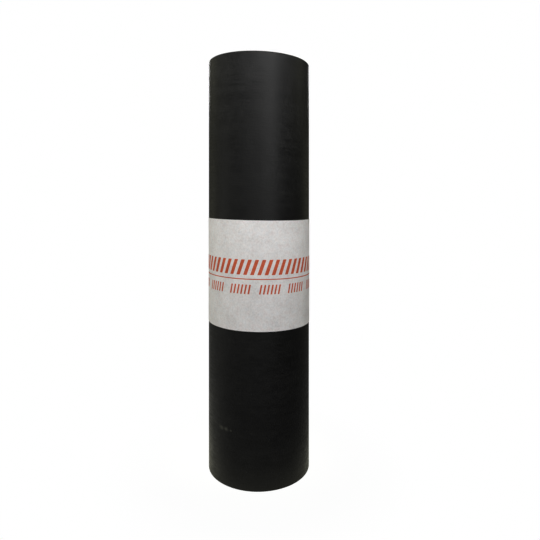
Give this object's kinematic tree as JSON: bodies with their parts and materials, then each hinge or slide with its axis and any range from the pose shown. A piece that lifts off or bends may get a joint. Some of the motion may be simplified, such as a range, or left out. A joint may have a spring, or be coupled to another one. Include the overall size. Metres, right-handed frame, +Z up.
{
  "type": "roll of roofing felt",
  "caption": "Tall roll of asphalt-saturated roofing felt standing on its end, wound round an open bore, with a paper belly band round its middle.",
  "frame": {"origin": "centre of the roll's lower end, on the floor that it stands on", "axes": "+Z up along the roll's axis, -Y towards the printed front of the band, +X to that front's right"},
  "size_m": [0.2306, 0.2306, 0.9144],
  "materials": {
    "felt": "matte",
    "band_paper": "matte"
  },
  "bodies": {
    "root": {"felt_roll": "felt", "paper_band": "band_paper"}
  },
  "joints": []
}
